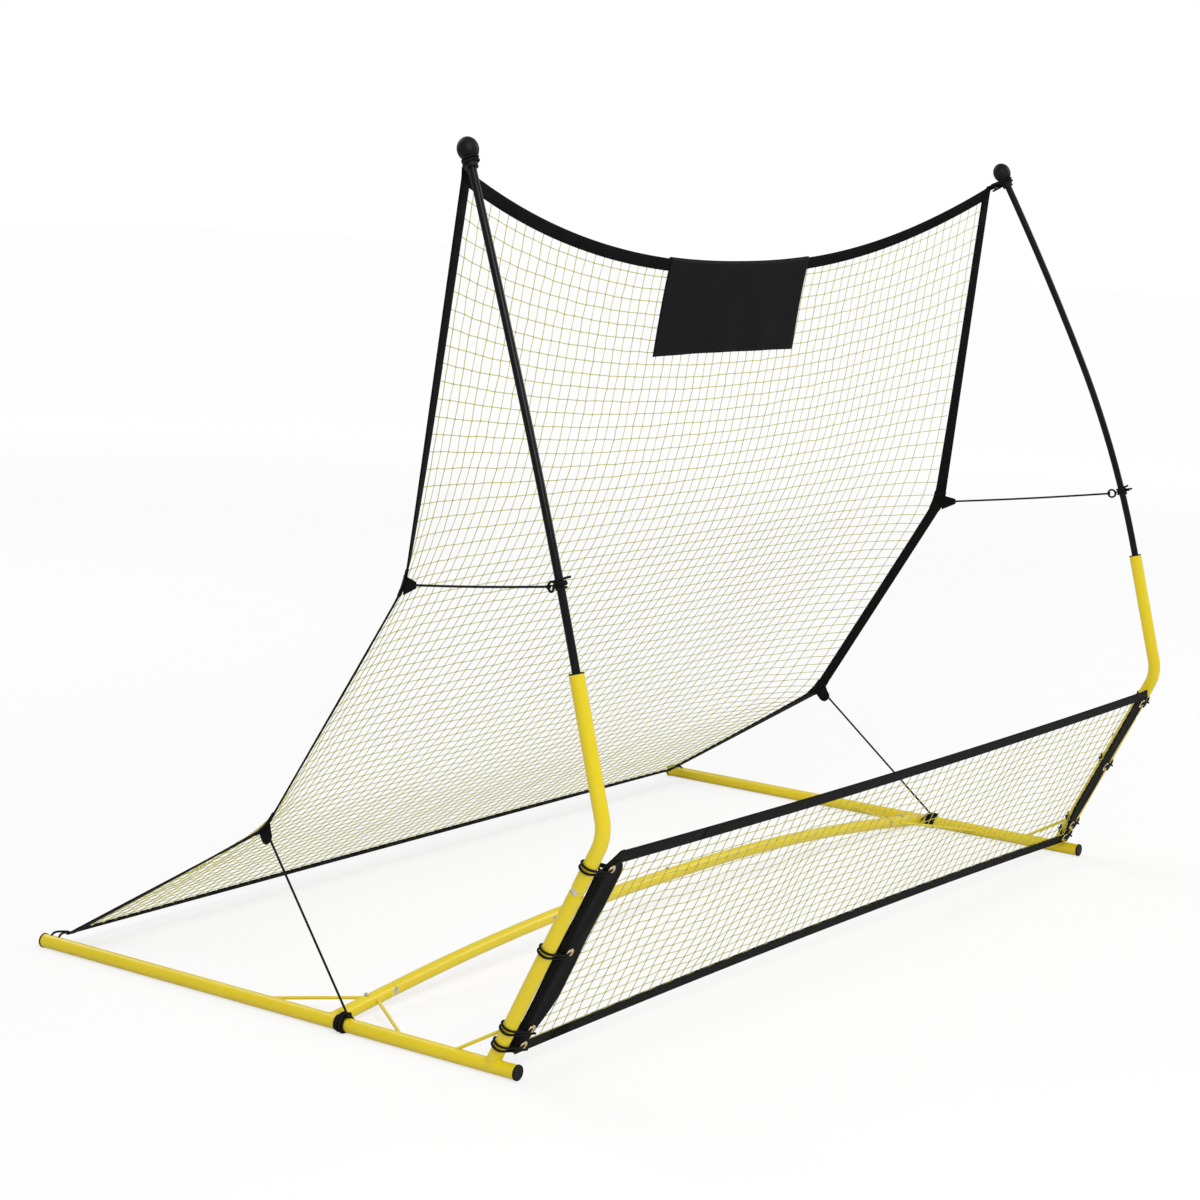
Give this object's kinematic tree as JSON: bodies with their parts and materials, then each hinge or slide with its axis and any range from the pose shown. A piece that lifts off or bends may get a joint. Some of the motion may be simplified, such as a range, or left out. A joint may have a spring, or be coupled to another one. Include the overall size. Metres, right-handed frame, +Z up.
{
  "type": "pitch back rebounder",
  "caption": "Ball rebounder for a lawn: a plug-together tube frame with springy poles holding a tall sagging net over two long feet, and a low net across the front.",
  "frame": {"origin": "on the ground in the middle of the object's bounding box", "axes": "+X along the crossbar to the right foot, -Y towards the low front net, +Z up"},
  "size_m": [2.112, 1.2668, 1.5219],
  "materials": {
    "yellow_paint": "smooth gloss powder coat",
    "bare_steel": "bare swaged steel",
    "black_rod": "smooth pultruded rod",
    "black_plastic": "moulded, satin",
    "cream_net": "woven twine mesh",
    "black_webbing": "folded and sewn webbing",
    "dark_panel": "coated cloth",
    "black_cord": "braided cord",
    "brass": "rolled eyelet"
  },
  "bodies": {
    "left_crossbar_button": {"left_crossbar_button": "bare_steel"},
    "left_upright_button": {"left_upright_button": "bare_steel"},
    "right_crossbar_button": {"right_crossbar_button": "bare_steel"},
    "right_upright_button": {"right_upright_button": "bare_steel"},
    "centre_crossbar_button": {"centre_crossbar_button": "bare_steel"},
    "frame": {"banner": "dark_panel", "crossbar_left_tube": "yellow_paint", "crossbar_right_tube": "yellow_paint", "front_foot_caps": "black_plastic", "front_net_bottom_band": "black_webbing", "front_net_eyelets": "brass", "front_net_mesh": "cream_net", "front_net_top_band": "black_webbing", "left_brace_rods": "yellow_paint", "left_crossbar_stub": "yellow_paint", "left_foot_tie_cord": "black_cord", "left_foot_tie_wrap": "black_cord", "left_foot_tube": "yellow_paint", "left_front_net_side_panel": "black_webbing", "left_front_net_ties": "black_cord", "left_low_patch": "black_webbing", "left_mid_patch": "black_webbing", "left_pole": "black_rod", "left_pole_bush": "black_plastic", "left_pole_tie_cord": "black_cord", "left_pole_tie_wrap": "black_cord", "left_rear_loop": "black_cord", "left_tip_ball": "black_plastic", "left_tip_loop": "black_cord", "left_upright_stub": "yellow_paint", "left_upright_tube": "yellow_paint", "lower_net_panel": "cream_net", "middle_net_panel": "cream_net", "net_bottom_band": "black_webbing", "net_left_band": "black_webbing", "net_right_band": "black_webbing", "net_top_band": "black_webbing", "rear_foot_caps": "black_plastic", "right_brace_rods": "yellow_paint", "right_crossbar_stub": "yellow_paint", "right_foot_tie_cord": "black_cord", "right_foot_tie_wrap": "black_cord", "right_foot_tube": "yellow_paint", "right_front_net_side_panel": "black_webbing", "right_front_net_ties": "black_cord", "right_low_patch": "black_webbing", "right_mid_patch": "black_webbing", "right_pole": "black_rod", "right_pole_bush": "black_plastic", "right_pole_tie_cord": "black_cord", "right_pole_tie_wrap": "black_cord", "right_rear_loop": "black_cord", "right_tip_ball": "black_plastic", "right_tip_loop": "black_cord", "right_upright_stub": "yellow_paint", "right_upright_tube": "yellow_paint", "snap_springs": "bare_steel", "upper_net_panel": "cream_net"}
  },
  "joints": [
    {"name": "left_crossbar_button_press", "type": "slide", "parent": "frame", "child": "left_crossbar_button", "axis": [0.1123, 0, -0.9937], "range_m": [0, 0.0057], "stiffness_N_per_m": 1500, "springref_m": -0.003, "deforming": ["snap_springs"]},
    {"name": "left_upright_button_press", "type": "slide", "parent": "frame", "child": "left_upright_button", "axis": [0, -0.8988, -0.4384], "range_m": [0, 0.0057], "stiffness_N_per_m": 1500, "springref_m": -0.003, "deforming": ["snap_springs"]},
    {"name": "right_crossbar_button_press", "type": "slide", "parent": "frame", "child": "right_crossbar_button", "axis": [-0.1123, 0, -0.9937], "range_m": [0, 0.0057], "stiffness_N_per_m": 1500, "springref_m": -0.003, "deforming": ["snap_springs"]},
    {"name": "right_upright_button_press", "type": "slide", "parent": "frame", "child": "right_upright_button", "axis": [0, -0.8988, -0.4384], "range_m": [0, 0.0057], "stiffness_N_per_m": 1500, "springref_m": -0.003, "deforming": ["snap_springs"]},
    {"name": "centre_crossbar_button_press", "type": "slide", "parent": "frame", "child": "centre_crossbar_button", "axis": [0, 0, -1], "range_m": [0, 0.0057], "stiffness_N_per_m": 1500, "springref_m": -0.003, "deforming": ["snap_springs"]}
  ]
}
